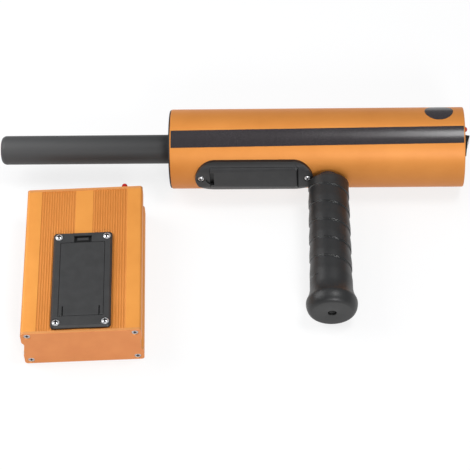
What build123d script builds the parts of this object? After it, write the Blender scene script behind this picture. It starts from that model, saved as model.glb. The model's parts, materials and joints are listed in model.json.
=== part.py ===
from build123d import *
import os
from math import asin, atan2, degrees, hypot, radians, tan

# Receiver tube, caps and rod
tube_radius = 34.0
tube_wall = 2.5
body_length = 250.0
tube_edge = 0.6
cap_flange = 1.2
cap_flange_radius = 33.5
cap_thickness = 6.0
rear_cap_thickness = 7.2
cap_gap = 0.05
rod_radius = 12.4
rod_wall = 2.0
rod_exposed = 146.0
rod_seat = 30.0
rod_tip_round = 4.5
boss_radius = 17.0
boss_ribs = 6

# Pickup coil inside the rod
core_radius = 5.0
core_length = 130.0
winding_radius = 8.5
winding_length = 84.0
cheek_thickness = 3.0

# Receiver battery box: obround flange, lid and well
box_centre = 72.2
box_roll = 8.15
flange_length = 99.7
flange_width = 33.2
flange_top = 36.4
flange_base = 32.4
flange_flat_width = 18.4
lid_length = 74.4
lid_width = 24.0
lid_underside = 33.9
lid_gap = 0.35
lid_knuckle_radius = 2.1
lid_notch_depth = 3.2
lid_notch_width = 14.6
lid_notch_floor = 32.9
lid_hook_place = 9.6
lid_pin_radius = 0.75
thumb_recess_place = 34.4
thumb_recess_radius = 6.8
tray_length = 77.2
tray_width = 25.9
tray_floor = 33.5
tray_base = 32.0
flange_screw_spacing = 90.2
flange_screw_land = 35.2

# Block battery, shared by both units
battery_length = 46.4
battery_thickness = 17.5
battery_depth = 26.5
terminal_height = 2.4
terminal_spacing = 12.7
bay_gap = 0.3
bay_wall = 1.5
contact_room = 4.0

# Handle swivel and grip, measured from the tube axis outwards
handle_place = 134.4
handle_lean = 0.9
grip_start = 38.0
grip_radius = 17.2
grip_foot_radius = 17.7
flare_start = 139.0
grip_end = 166.5
pommel_radius = 21.2
pommel_height = 157.5
pommel_round = 6.4
pommel_rim_radius = 20.65
grip_bore = 12.1
grip_hole_radius = 3.5
spiral_pitch = 18.08
spiral_first = 42.0
spiral_turns = 5.2
spiral_depth = 0.8
spiral_phase = 226.0
shaft_radius = 4.0
shaft_shoulder = 5.8
neck_radius = 9.0
neck_bore = 6.6
neck_end = 37.4
housing_radius = 15.0
housing_inner_end = 3.0
bearing_radius = 11.0
bearing_width = 7.0
bearing_shoulder = 28.0
washer_radius = 10.8
washer_top = 34.8
core_tube_radius = 12.0
core_tube_bore = 9.0

# Labels on the tube
label_thickness = 0.2
strip_angle = 25.4
strip_roll_front = 67.8
strip_roll_rear = 71.8
strip_margin = 0.4
round_label_radius = 12.0
round_label_place = 228.8
round_label_roll = 116.4

# Rocker switch, light and rear board
rocker_length = 14.8
rocker_width = 10.2
rocker_middle_height = 4.2
rocker_end_height = 4.75
rocker_depth = 3.5
rocker_tilt = 12.0
rocker_pivot_depth = 0.5
rocker_pin_radius = 1.0
switch_bezel = (21.0, 15.0, 2.0)
switch_body = (19.0, 12.8, 14.0)
switch_well = (16.8, 10.8, 6.0)
rear_switch_shift = 2.0
led_radius = 2.5
rear_led_height = 18.5
rear_led_stem = 2.4
board_thickness = 1.6
rear_board_height = 13.5

# Transmitter case
case_width = 97.0
case_height = 40.0
case_length = 150.0
plate_thickness = 2.5
case_wall = 1.8
case_corner = 2.5
waist_depth = 1.7
waist_height = 14.0
flute_inner = 6.8
flute_outer = 36.0
flute_count = 14
flute_depth = 0.5
plate_screw_x = 43.2
plate_screw_inset = 4.0
case_turn = 2.56
case_centre = (-66.9, -123.1)

# Transmitter battery holder and door
holder_centre = -23.2
holder_width = 48.5
holder_length = 97.0
holder_top = 43.0
holder_bevel = 1.6
holder_screw_spacing = (39.5, 87.0)
door_width = 36.0
door_far = 14.0
door_near = -60.5
door_top = 42.8
door_underside = 40.8
door_knuckle_radius = 1.3
door_slit_x = 14.8
door_slit_length = 9.5
door_slit_width = 0.9
latch_width = 14.4
latch_reach = 7.2
latch_side_gap = 2.6
latch_end_gap = 2.0
latch_web = (41.0, 41.5)
latch_tab_start = 2.4
latch_tab_top = 42.6

# Far panel of the transmitter
panel_led = (33.0, 34.3)
panel_switch = (14.0, 18.0)
panel_sockets = {"red": -28.5, "black": -9.5}
socket_height = 18.0
socket_bore = 2.05
socket_bore_depth = 16.0

pommel_ring = pommel_radius - pommel_round
droop = degrees(asin((tube_radius - pommel_round) / hypot(pommel_height, pommel_ring))
                - atan2(pommel_ring, pommel_height))
bore_radius = tube_radius - tube_wall
tube_front = cap_flange
tube_rear = body_length
MIN = Align.MIN
MAX = Align.MAX
MID = Align.CENTER


def turned(*points):
    """A solid of revolution about Z from (radius, height) points."""
    outline = make_face(Plane.XZ * Polyline(*points, close=True))
    return revolve(outline, Axis.Z)


def rod_along_x(radius, start, end):
    return Pos(start, 0, 0) * Rot(0, 90, 0) * Cylinder(radius, end - start, align=(MID, MID, MIN))


def cylinder_up(radius, low, high):
    return Pos(0, 0, low) * Cylinder(radius, high - low, align=(MID, MID, MIN))


def box_between(low, high):
    size = [h - l for l, h in zip(low, high)]
    return Pos(*low) * Box(*size, align=(MIN, MIN, MIN))


def roll_outwards(angle):
    """Turns local +Z to the outward direction at an angle from the handle side of the tube."""
    return Rot(180 - angle, 0, 0)


cover_frame = Pos(box_centre, 0, 0) * roll_outwards(box_roll)
handle_frame = Pos(handle_place, 0, 0) * Rot(0, -handle_lean, 0) * roll_outwards(0)
rear_face = Pos(body_length, 0, 0) * Rot(0, 90, 0)
rear_switch_frame = rear_face * Pos(-rear_switch_shift, 0, 0)
rear_led_frame = rear_face * Pos(-rear_led_height, 0, 0)
hinge_x = lid_length / 2 - lid_knuckle_radius
hinge_z = flange_top - lid_knuckle_radius


def pan_screw(head_radius, head_height, shank_radius, shank_length):
    """A pan-head screw with its head on z = 0 and its shank below."""
    return turned((0, -shank_length), (shank_radius, -shank_length), (shank_radius, 0), (head_radius, 0),
                  (head_radius, head_height * 0.5), (head_radius * 0.72, head_height), (0, head_height))


def countersunk_screw(head_radius, head_height, shank_radius, shank_length):
    """A countersunk screw with the top of its head on z = 0."""
    return turned((0, 0), (head_radius, 0), (shank_radius, -head_height), (shank_radius, -shank_length),
                  (0, -shank_length))


def body_tube():
    outer = rod_along_x(tube_radius, tube_front, tube_rear)
    tube = chamfer(outer.edges().filter_by(GeomType.CIRCLE), tube_edge)
    tube -= rod_along_x(bore_radius, tube_front, tube_rear)
    mouth = Pos(0, 0, tube_radius) * Box(tray_length + 0.4, tray_width + 0.4, 20)
    for side in (-1, 1):
        mouth += Pos(side * flange_screw_spacing / 2, 0, tube_radius) * Cylinder(1.4, 20)
    neck_hole = handle_frame * cylinder_up(neck_radius + 0.1, 20, 40)
    return tube - cover_frame * mouth - neck_hole


def front_cap():
    """Cap with a thin flange over the tube's end and a ribbed boss that the rod is seated in."""
    inner = tube_front + cap_thickness
    radius = bore_radius - cap_gap
    flange = rod_along_x(cap_flange_radius, 0, tube_front)
    flange = chamfer(flange.edges().filter_by(GeomType.CIRCLE).group_by(Axis.X)[0], tube_edge)
    cap = flange + rod_along_x(radius, tube_front, inner) + rod_along_x(boss_radius, inner, rod_seat)
    rib = Plane.XZ * make_face(Polyline((inner, boss_radius - 1), (rod_seat - 2, boss_radius - 1),
                                        (inner, radius - 2), close=True))
    for turn in range(boss_ribs):
        cap += Rot(turn * 360 / boss_ribs, 0, 0) * extrude(rib, 1.2, both=True)
    return cap - rod_along_x(rod_radius + cap_gap, 0, rod_seat)


def antenna_rod():
    rod = rod_along_x(rod_radius, -rod_exposed, rod_seat)
    rod = fillet(rod.edges().filter_by(GeomType.CIRCLE).group_by(Axis.X)[0], rod_tip_round)
    return rod - rod_along_x(rod_radius - rod_wall, -rod_exposed + rod_tip_round, rod_seat)


def coil_pieces():
    """Ferrite core, and a bobbin on it whose cheeks centre it in the rod."""
    core_front = -rod_exposed + 10
    core = rod_along_x(core_radius, core_front, core_front + core_length)
    bobbin_front = core_front + 15
    bobbin_rear = bobbin_front + winding_length
    barrel = rod_along_x(core_radius + 1, bobbin_front, bobbin_rear)
    cheek_radius = rod_radius - rod_wall - 0.1
    bobbin = barrel + rod_along_x(cheek_radius, bobbin_front - cheek_thickness, bobbin_front)
    bobbin += rod_along_x(cheek_radius, bobbin_rear, bobbin_rear + cheek_thickness)
    bobbin -= rod_along_x(core_radius + 0.02, core_front, core_front + core_length)
    winding = rod_along_x(winding_radius, bobbin_front + 0.02, bobbin_rear - 0.02)
    winding -= rod_along_x(core_radius + 1.02, bobbin_front, bobbin_rear)
    return core, bobbin, winding


def switch_housing():
    """Rocker switch body on z = 0, outwards +Z, rocker along X."""
    length, width, depth = switch_body
    bezel_length, bezel_width, bezel_height = switch_bezel
    bezel = extrude(RectangleRounded(bezel_length, bezel_width, 1.5), bezel_height)
    bezel = chamfer(bezel.faces().sort_by(Axis.Z)[-1].edges(), 0.6)
    body = bezel + box_between((-length / 2, -width / 2, -depth), (length / 2, width / 2, 0))
    well_length, well_width, well_depth = switch_well
    body -= box_between((-well_length / 2, -well_width / 2, -well_depth),
                        (well_length / 2, well_width / 2, 10))
    pin = Rot(90, 0, 0) * Cylinder(rocker_pin_radius + 0.05, rocker_width + 1.6)
    for side in (-1, 1):
        body += Pos(side * 4.7, 0, -depth) * Box(0.8, 4.8, 7, align=(MID, MID, MAX))
    return body - Pos(0, 0, -rocker_pivot_depth) * pin


def switch_rocker():
    """Rocker with a shallow V top, resting with its -X end up."""
    half = rocker_length / 2
    side = make_face(Polyline((0, rocker_middle_height), (half, rocker_end_height), (half, -rocker_depth),
                              (-half, -rocker_depth), (-half, rocker_end_height), close=True))
    rocker = extrude(Plane.XZ * side, rocker_width / 2, both=True)
    pin = Rot(90, 0, 0) * Cylinder(rocker_pin_radius, rocker_width + 1.4)
    rocker += Pos(0, 0, -rocker_pivot_depth) * pin
    pivot = Axis((0, 0, -rocker_pivot_depth), (0, 1, 0))
    return rocker.rotate(pivot, rocker_tilt)


def led(stem, depth):
    """Domed 5 mm light whose straight part stands above z = 0 and whose flange sits at a depth behind it."""
    body = cylinder_up(led_radius, -depth, stem) + Pos(0, 0, stem) * Sphere(led_radius)
    body += cylinder_up(led_radius + 0.4, -depth - 1, -depth)
    for side in (-1, 1):
        body += Pos(side * 1.27, 0, -depth - 1) * Box(0.6, 0.6, 6, align=(MID, MID, MAX))
    return body


def rear_cap():
    """Cap pressed in flush with the tube's end, with a skirt behind it and slotted rails for the board."""
    inner = tube_rear - rear_cap_thickness
    radius = bore_radius - cap_gap
    cap = rod_along_x(radius, inner, tube_rear)
    cap = chamfer(cap.edges().filter_by(GeomType.CIRCLE).group_by(Axis.X)[-1], tube_edge)
    cap += rod_along_x(radius, inner - 8, inner) - rod_along_x(radius - 2, inner - 8, inner)
    slot = board_thickness / 2 + 0.1
    for side in (-1, 1):
        rail = box_between((inner - 66, 19, rear_board_height - 3), (inner, 24, rear_board_height + 3))
        rail -= box_between((inner - 66, 17, rear_board_height - slot), (inner, 22, rear_board_height + slot))
        cap += rail if side > 0 else mirror(rail, Plane.XZ)
    length, width, _ = switch_body
    cap -= rear_switch_frame * Box(length + 0.2, width + 0.2, 40)
    return cap - rear_led_frame * Cylinder(led_radius + 0.05, 40)


def circuit_board(length, width, thickness):
    """Board blank with its two leading corners cut off so that it slides into its slots."""
    blank = Box(length, width, thickness, align=(MIN, MID, MIN))
    return chamfer(blank.edges().filter_by(Axis.Z).group_by(Axis.X)[0], 2)


def board_parts(length, chip_places, can_places):
    """Chips and cans standing on a board's top face at z = 0."""
    chips = [Pos(length * x, y, 0) * Box(14, 7, 3, align=(MID, MID, MIN)) for x, y in chip_places]
    cans = [Pos(length * x, y, 0) * Cylinder(4, 7, align=(MID, MID, MIN)) for x, y in can_places]
    return Compound(children=chips + cans)


def label_strip():
    """Strip wrapped on the tube, a little askew: a ruled skin between two arcs."""
    inner = tube_radius + 0.08
    ring = Circle(inner + label_thickness) - Circle(inner)
    far = 2 * tube_radius
    side = far * tan(radians(strip_angle / 2))
    wedge = make_face(Polyline((0, 0), (side, far), (-side, far), close=True))
    sector = Plane.YZ * (ring & wedge)
    ends = []
    for x, roll in ((tube_front + tube_edge + strip_margin, strip_roll_front),
                    (tube_rear - tube_edge - strip_margin, strip_roll_rear)):
        ends.append(Pos(x, 0, 0) * roll_outwards(roll) * sector)
    return loft(ends, ruled=True)


def round_label():
    skin = rod_along_x(tube_radius + 0.05 + label_thickness, round_label_place - 20, round_label_place + 20)
    skin -= rod_along_x(tube_radius + 0.05, round_label_place - 20, round_label_place + 20)
    punch = Pos(round_label_place, 0, 0) * roll_outwards(round_label_roll)
    return skin & punch * cylinder_up(round_label_radius, 20, 40)


def flange_envelope():
    """Obround boss with sloped long sides that the battery box flange and its lid are cut from."""
    flat = flange_flat_width / 2
    half = flange_width / 2
    section = make_face(Polyline((-half, 20), (-half, flange_base), (-flat, flange_top), (flat, flange_top),
                                 (half, flange_base), (half, 20), close=True))
    bar = extrude(Plane.YZ * section, flange_length / 2, both=True)
    return bar & extrude(SlotOverall(flange_length, flange_width), 60)


def battery_bay(count):
    """Room for block batteries on edge, side by side, with the contact end towards -X."""
    width = count * battery_thickness + bay_gap * 2
    length = battery_length + terminal_height + contact_room
    return box_between((-length / 2, -width / 2, -battery_depth - bay_gap), (length / 2, width / 2, 10))


def bay_walls(count):
    bay = battery_bay(count).bounding_box()
    return box_between((bay.min.X - bay_wall, bay.min.Y - bay_wall, bay.min.Z - bay_wall),
                       (bay.max.X + bay_wall, bay.max.Y + bay_wall, 0))


def block_batteries(count):
    """Block batteries on edge with their tops at z = 0."""
    start = (battery_length + terminal_height + contact_room) / 2 - bay_gap - battery_length
    cells = []
    for index in range(count):
        y = (index - (count - 1) / 2) * battery_thickness
        case = Box(battery_length, battery_thickness - 0.1, battery_depth, align=(MIN, MID, MAX))
        case = Pos(start, y, 0) * case
        case = fillet(case.edges().filter_by(Axis.X), 1.2)
        for side, radius in ((-1, 2.8), (1, 4.0)):
            snap = Rot(0, -90, 0) * Cylinder(radius, terminal_height, align=(MID, MID, MIN))
            case += Pos(start, y, -battery_depth / 2 + side * terminal_spacing / 2) * snap
        cells.append(case)
    return Compound(children=cells)


def battery_contacts(count):
    """Spring leaves bent from strip, one against each battery terminal."""
    end = -(battery_length + terminal_height + contact_room) / 2
    leaf = make_face(Polyline((end, -3.5), (end + 0.4, -3.5), (end + 3.1, 0), (end + 0.4, 3.5), (end, 3.5),
                              (end + 2.7, 0), close=True))
    leaves = []
    for index in range(count):
        y = (index - (count - 1) / 2) * battery_thickness
        for side in (-1, 1):
            z = -battery_depth / 2 + side * terminal_spacing / 2
            leaves.append(Pos(0, y, z) * extrude(Plane.XZ * leaf, 2.2, both=True))
    return Compound(children=leaves)


bay_top = Pos(0, 0, tray_base + 0.4)


def lid_notch():
    """Finger slot at the free end of the lid, sunk a little way into the tray below it."""
    end = -lid_length / 2
    half = lid_notch_width / 2
    return box_between((end - lid_gap, -half, lid_notch_floor), (end + lid_notch_depth, half, 40))


def battery_box():
    flange = flange_envelope() - rod_along_x(tube_radius + 0.05, -80, 80)
    tray = box_between((-tray_length / 2, -tray_width / 2, tray_base), (tray_length / 2, tray_width / 2, 35))
    body = (flange + tray & flange_envelope()) + bay_top * bay_walls(1)
    recess_length = lid_length + 2 * lid_gap
    recess_width = lid_width + 2 * lid_gap
    body -= box_between((-recess_length / 2, -recess_width / 2, tray_floor),
                        (recess_length / 2, recess_width / 2, 40))
    body -= lid_notch()
    body -= Pos(-thumb_recess_place, 0, 0) * cylinder_up(thumb_recess_radius, flange_screw_land, 40)
    hinge = Pos(hinge_x, 0, hinge_z) * Rot(90, 0, 0)
    body -= hinge * Cylinder(lid_knuckle_radius + lid_gap, recess_width)
    body -= hinge * Cylinder(lid_pin_radius + 0.02, recess_width + 3.4)
    body -= bay_top * battery_bay(1)
    for side in (-1, 1):
        body -= Pos(-lid_length / 2 + 1.4, side * lid_hook_place, tray_floor) * Box(2.4, 4.2, 12)
        land = Pos(side * flange_screw_spacing / 2, 0, 0)
        body -= land * cylinder_up(3.2, flange_screw_land, 40) + land * cylinder_up(1.4, 20, 40)
    return body


def battery_lid():
    plate = box_between((-lid_length / 2, -lid_width / 2, lid_underside), (hinge_x, lid_width / 2, 40))
    hinge = Pos(hinge_x, 0, hinge_z) * Rot(90, 0, 0)
    lid = plate + hinge * Cylinder(lid_knuckle_radius, lid_width) & flange_envelope()
    lid -= lid_notch()
    for side in (-1, 1):
        hook = Box(1.2, 3, 4, align=(MID, MID, MAX))
        lid += Pos(-lid_length / 2 + 1.4, side * lid_hook_place, lid_underside) * hook
    return lid - hinge * Cylinder(lid_pin_radius + 0.05, lid_width)


def lid_hinge_pin():
    pin = Pos(hinge_x, 0, hinge_z) * Rot(90, 0, 0) * Cylinder(lid_pin_radius, lid_width + 3.4)
    return pin & flange_envelope()


def battery_box_screws():
    screw = Pos(0, 0, flange_screw_land) * pan_screw(2.65, 2.0, 1.3, 8)
    return Compound(children=[Pos(side * flange_screw_spacing / 2, 0, 0) * screw for side in (-1, 1)])


def tube_round(radius):
    """A round bar on the tube's axis, seen from the handle's frame."""
    return handle_frame.inverse() * rod_along_x(radius, handle_place - 40, handle_place + 40)


def bearing_housing():
    """Swivel housing shaped to the tube's bore, with a neck that passes out through the tube's wall."""
    body = cylinder_up(housing_radius, housing_inner_end, tube_radius)
    body = body & tube_round(bore_radius - cap_gap)
    body += cylinder_up(neck_radius, housing_inner_end + 1, neck_end)
    body -= cylinder_up(neck_bore, 0, 40)
    return body - cylinder_up(bearing_radius + 0.02, 0, bearing_shoulder)


def saddle_washer():
    washer = cylinder_up(washer_radius, 20, washer_top) - cylinder_up(neck_radius + 0.02, 20, 40)
    return washer - tube_round(tube_radius + 0.05)


def neck_nut():
    nut = cylinder_up(washer_radius, washer_top + 0.02, neck_end) - cylinder_up(neck_radius + 0.02, 20, 40)
    for turn in range(4):
        nut -= Rot(0, 0, 45 + turn * 90) * Pos(washer_radius, 0, neck_end) * Box(2.4, 2.2, 10)
    return nut


bearing_seats = (housing_inner_end + 0.5, bearing_shoulder - bearing_width)


def bearing_rings(outer, inner):
    """One ring of each of the two swivel bearings; the shields are part of the outer rings."""
    rings = []
    for seat in bearing_seats:
        ring = cylinder_up(outer, seat, seat + bearing_width)
        rings.append(ring - cylinder_up(inner, seat - 1, seat + bearing_width + 1))
    return Compound(children=rings)


def bearing_spacer():
    low = bearing_seats[0] + bearing_width + 0.02
    high = bearing_seats[1] - 0.02
    return cylinder_up(bearing_radius - 0.05, low, high) - cylinder_up(bearing_radius - 1.5, low, high)


def handle_shaft():
    foot = 64.0
    low = bearing_shoulder + 0.02
    return turned((0, -5), (shaft_radius - 0.5, -5), (shaft_radius, -4.5), (shaft_radius, low),
                  (shaft_shoulder, low), (shaft_shoulder, 38.9), (shaft_radius, 38.9), (shaft_radius, foot),
                  (0, foot))


def shaft_nut():
    top = bearing_seats[0] - 0.1
    nut = extrude(RegularPolygon(6.5, 6, major_radius=False), 6)
    return Pos(0, 0, top - 6) * (nut - Cylinder(shaft_radius + 0.02, 30))


def handle_core():
    tube = cylinder_up(core_tube_radius, 39, grip_end - 5) - cylinder_up(core_tube_bore, 62, grip_end)
    return tube - cylinder_up(shaft_radius + 0.02, 30, 70)


def grip():
    """Rubber sleeve: tapered barrel with a spiral step, and a long flare into a rounded pommel with a vent.
    The flare is the arc that touches both the barrel's foot and the round of the pommel's rim."""
    reach = pommel_height - flare_start
    inset = grip_foot_radius - pommel_ring
    flare_radius = (inset ** 2 + reach ** 2 - pommel_round ** 2) / (2 * (pommel_round - inset))
    share = pommel_round / (pommel_round + flare_radius)
    touch = (pommel_ring + share * (inset + flare_radius), pommel_height - share * reach)
    rim_step = (pommel_round ** 2 - (pommel_rim_radius - pommel_ring) ** 2) ** 0.5
    rim_end = (pommel_rim_radius, pommel_height + rim_step)
    end_face = pommel_radius - 4.5
    floor = grip_end - 4.9
    barrel = Polyline((grip_bore, grip_start), (grip_radius - 1.2, grip_start),
                      (grip_radius, grip_start + 1.2), (grip_foot_radius, flare_start))
    flare = TangentArc((grip_foot_radius, flare_start), touch, tangent=(0, 1))
    rim = ThreePointArc(touch, (pommel_radius, pommel_height), rim_end)
    crown = ThreePointArc(rim_end, (19.2, grip_end - 2.2), (end_face, grip_end))
    inside = Polyline((end_face, grip_end), (grip_hole_radius, grip_end), (grip_hole_radius, floor),
                      (grip_bore, floor), (grip_bore, grip_start))
    sleeve = revolve(make_face(Plane.XZ * (barrel + flare + rim + crown + inside)), Axis.Z)
    taper = degrees(atan2(grip_foot_radius - grip_radius, flare_start - grip_start - 1.2))
    spiral = Helix(spiral_pitch, spiral_turns * spiral_pitch, grip_radius, cone_angle=taper, lefthand=True)
    low = grip_radius - spiral_depth
    outside = grip_radius + 0.3
    notch = make_face(Polyline((outside, -0.4), (low, 0.7), (outside, 11.5), close=True))
    groove = sweep(Plane.XZ * notch, path=spiral, is_frenet=True)
    return sleeve - Pos(0, 0, spiral_first) * Rot(0, 0, spiral_phase) * groove


def case_section():
    """Half of the transmitter case in cross-section, split at mid-height, with flutes along its top."""
    half = case_width / 2
    middle = case_height / 2
    waist = half - waist_depth
    lobe = middle + waist_height / 2
    slope = waist_depth
    crest = case_height
    right = [(waist, middle), (waist, lobe - slope / 2), (half, lobe + slope / 2),
             (half, crest - case_corner)]
    flutes = []
    pitch = (flute_outer - flute_inner) / flute_count
    for index in range(flute_count):
        x = flute_outer - index * pitch
        for step, drop in ((0.0, 0), (0.2, flute_depth), (0.55, flute_depth), (0.75, 0)):
            flutes.append((x - step * pitch, crest - drop))
    top = [(half - case_corner, crest)] + flutes + [(-x, z) for x, z in reversed(flutes)]
    left = [(-x, z) for x, z in reversed(right)]
    shoulder = case_corner * (1 - 0.5 ** 0.5)
    corner = ThreePointArc(right[-1], (half - shoulder, crest - shoulder), top[0])
    far_corner = ThreePointArc((case_corner - half, crest), (shoulder - half, crest - shoulder), left[0])
    rest = Polyline(*top, (case_corner - half, crest))
    sides = Polyline(*right) + Polyline(*left) + Line(left[-1], right[0])
    outer = make_face(sides + corner + rest + far_corner)
    inner_waist = waist - case_wall
    inner_half = half - case_wall
    roof = crest - case_wall
    hollow = make_face(Polyline((inner_waist, middle), (inner_waist, lobe), (inner_half, lobe + slope),
                                (inner_half, roof - 1), (inner_half - 1, roof), (1 - inner_half, roof),
                                (-inner_half, roof - 1), (-inner_half, lobe + slope), (-inner_waist, lobe),
                                (-inner_waist, middle), close=True))
    section = outer - hollow
    for side in (-1, 1):
        channel = Pos(side * plate_screw_x, crest - plate_screw_inset)
        section += channel * Circle(3.4) & outer
        for z in (lobe + slope + 0.2, lobe + slope + 3.2):
            section += Pos(side * (inner_half - 1.4), z) * Rectangle(3.4, 1.2)
    for side in (-1, 1):
        section -= Pos(side * plate_screw_x, crest - plate_screw_inset) * Circle(1.45)
    tongue = inner_waist + case_wall / 2
    section += Pos(tongue, middle - 0.5) * Rectangle(0.7, 1.0)
    return section - Pos(-tongue, middle + 0.6) * Rectangle(0.9, 1.2)


def along_case(section, near, far):
    """Carries a cross-section in X and Z along the case, from near to far."""
    return Pos(0, near, 0) * extrude(Plane.XZ * section, -(far - near))


shell_end = case_length / 2 - plate_thickness


def case_bottom():
    shell = along_case(case_section(), -shell_end, shell_end)
    return shell.rotate(Axis((0, 0, case_height / 2), (0, 1, 0)), 180)


def case_top():
    shell = along_case(case_section(), -shell_end, shell_end)
    mouth = holder_mouth()
    shell -= Pos(0, holder_centre, case_height) * Box(mouth[0], mouth[1], 12)
    for x, y in holder_screw_places():
        shell -= Pos(x, y, case_height) * Cylinder(1.4, 12)
    return shell


def plate_outline():
    half = case_width / 2
    middle = case_height / 2
    waist = half - waist_depth
    low = middle - waist_height / 2
    high = middle + waist_height / 2
    slope = waist_depth / 2
    right = [(half, 0), (half, low - slope), (waist, low + slope), (waist, high - slope),
             (half, high + slope), (half, case_height)]
    left = [(-x, z) for x, z in reversed(right)]
    blank = make_face(Polyline(*right, *left, close=True))
    corners = [v for v in blank.vertices() if v.Z in (0, case_height) or v.Y in (0, case_height)]
    return fillet(corners, case_corner)


def plate_screw_places():
    heights = (plate_screw_inset, case_height - plate_screw_inset)
    return [(side * plate_screw_x, z) for side in (-1, 1) for z in heights]


def end_plate():
    """Blank end plate with countersunk holes; its outer face is towards -Y."""
    outer = -case_length / 2
    plate = along_case(plate_outline(), outer, outer + plate_thickness)
    for x, z in plate_screw_places():
        sink = Pos(x, outer, z) * Rot(90, 0, 0)
        plate -= sink * countersunk_screw(3.05, 1.8, 1.6, 10)
    return plate


def plate_screws():
    screw = countersunk_screw(3.0, 1.75, 1.4, 12)
    near = [Pos(x, -case_length / 2, z) * Rot(90, 0, 0) * screw for x, z in plate_screw_places()]
    far = [Rot(0, 0, 180) * piece for piece in near]
    return Compound(children=near + far)


def on_panel(x, z):
    """Frame on the far panel: local +Z points away from the case."""
    return Pos(x, case_length / 2, z) * Rot(-90, 0, 0)


def far_plate():
    plate = Rot(0, 0, 180) * end_plate()
    length, width, _ = switch_body
    plate -= on_panel(*panel_switch) * Box(length + 0.2, width + 0.2, 20)
    plate -= on_panel(*panel_led) * Cylinder(3.25, 20)
    for x in panel_sockets.values():
        plate -= on_panel(x, socket_height) * Cylinder(4.05, 20)
    return plate


def panel_led_bezel():
    """Snap-in bezel that holds the light proud of the panel."""
    return turned((led_radius + 0.05, 2.2), (3.4, 2.2), (4.0, 1.6), (4.0, 0), (3.2, 0), (3.2, -3.4),
                  (led_radius + 0.05, -3.4))


def probe_socket():
    """4 mm panel socket: insulating collar, threaded body, hexagon nut inside the panel."""
    body = turned((socket_bore, 3.5), (4.6, 3.5), (5.5, 2.6), (5.5, 0), (4.0, 0), (4.0, -15), (0, -15),
                  (0, 3.5 - socket_bore_depth), (socket_bore, 3.5 - socket_bore_depth))
    nut = extrude(RegularPolygon(5.5, 6, major_radius=False), 2.5) - Cylinder(3.9, 20)
    return body + Pos(0, 0, -plate_thickness - 2.6) * nut


def holder_mouth():
    """Width and length of the opening that the battery holder's well drops into."""
    return door_width + 4.8, 83.0


def holder_screw_places():
    width, length = holder_screw_spacing
    return [(sx * width / 2, holder_centre + sy * length / 2) for sx in (-1, 1) for sy in (-1, 1)]


door_hinge_y = door_near + door_knuckle_radius
door_hinge_z = door_top - door_knuckle_radius
door_middle = (door_far + door_near) / 2
holder_floor = 39.2
holder_bay = Pos(0, door_middle, holder_floor - 0.3) * Rot(0, 0, -90)


def battery_holder():
    blank = Pos(0, holder_centre, case_height) * extrude(RectangleRounded(holder_width, holder_length, 3),
                                                         holder_top - case_height)
    frame = chamfer(blank.faces().sort_by(Axis.Z)[-1].edges(), holder_bevel)
    mouth = holder_mouth()
    tray = Box(mouth[0] - 0.4, mouth[1] - 0.4, 2.5, align=(MID, MID, MAX))
    tray = Pos(0, holder_centre, case_height) * tray
    frame += tray + holder_bay * bay_walls(2)
    recess_near = door_near - lid_gap
    frame -= box_between((-door_width / 2 - lid_gap, recess_near, holder_floor),
                         (door_width / 2 + lid_gap, door_far + lid_gap, 50))
    frame -= box_between((-latch_width / 2, door_far, 40.6), (latch_width / 2, door_far + latch_reach, 50))
    frame -= holder_bay * battery_bay(2)
    hinge = Pos(0, door_hinge_y, door_hinge_z) * Rot(0, 90, 0)
    frame -= hinge * Cylinder(1.05, door_width + 3.4)
    for x, y in holder_screw_places():
        frame -= Pos(x, y, 0) * cylinder_up(3.6, holder_top - 1.0, 50)
        frame -= Pos(x, y, 0) * cylinder_up(1.4, 30, 50)
    return frame


def battery_door():
    """Door with a spring latch at the far end, a low web that carries a raised thumb tab, and two spring
    arms with pivot stubs at the near end."""
    door = box_between((-door_width / 2, door_hinge_y, door_underside), (door_width / 2, door_far, door_top))
    hinge = Pos(0, door_hinge_y, door_hinge_z) * Rot(0, 90, 0)
    door += hinge * Cylinder(door_knuckle_radius, door_width)
    half = latch_width / 2 - latch_side_gap
    tip = door_far + latch_reach - latch_end_gap
    door += box_between((-half, door_far - 1, latch_web[0]), (half, tip, latch_web[1]))
    door += box_between((-half, door_far + latch_tab_start, latch_web[0]), (half, tip, latch_tab_top))
    for side in (-1, 1):
        slit = Box(door_slit_width, door_slit_length + 1, 20, align=(MID, MIN, MID))
        door -= Pos(side * door_slit_x, door_near - 1, door_top) * slit
    return door + hinge * (Cylinder(1.0, door_width + 2.8) - Cylinder(2, door_width - 2))


def holder_screws():
    screw = Pos(0, 0, holder_top - 1.0) * pan_screw(3.1, 2.2, 1.3, 8)
    return Compound(children=[Pos(x, y, 0) * screw for x, y in holder_screw_places()])


rear_board = Pos(tube_rear - rear_cap_thickness - 70, 0, rear_board_height - board_thickness / 2)
case_board = Pos(0, -68, case_height / 2 - waist_height / 2 - waist_depth - 3.2 + 0.7) * Rot(0, 0, 90)
core, bobbin, winding = coil_pieces()

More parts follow.
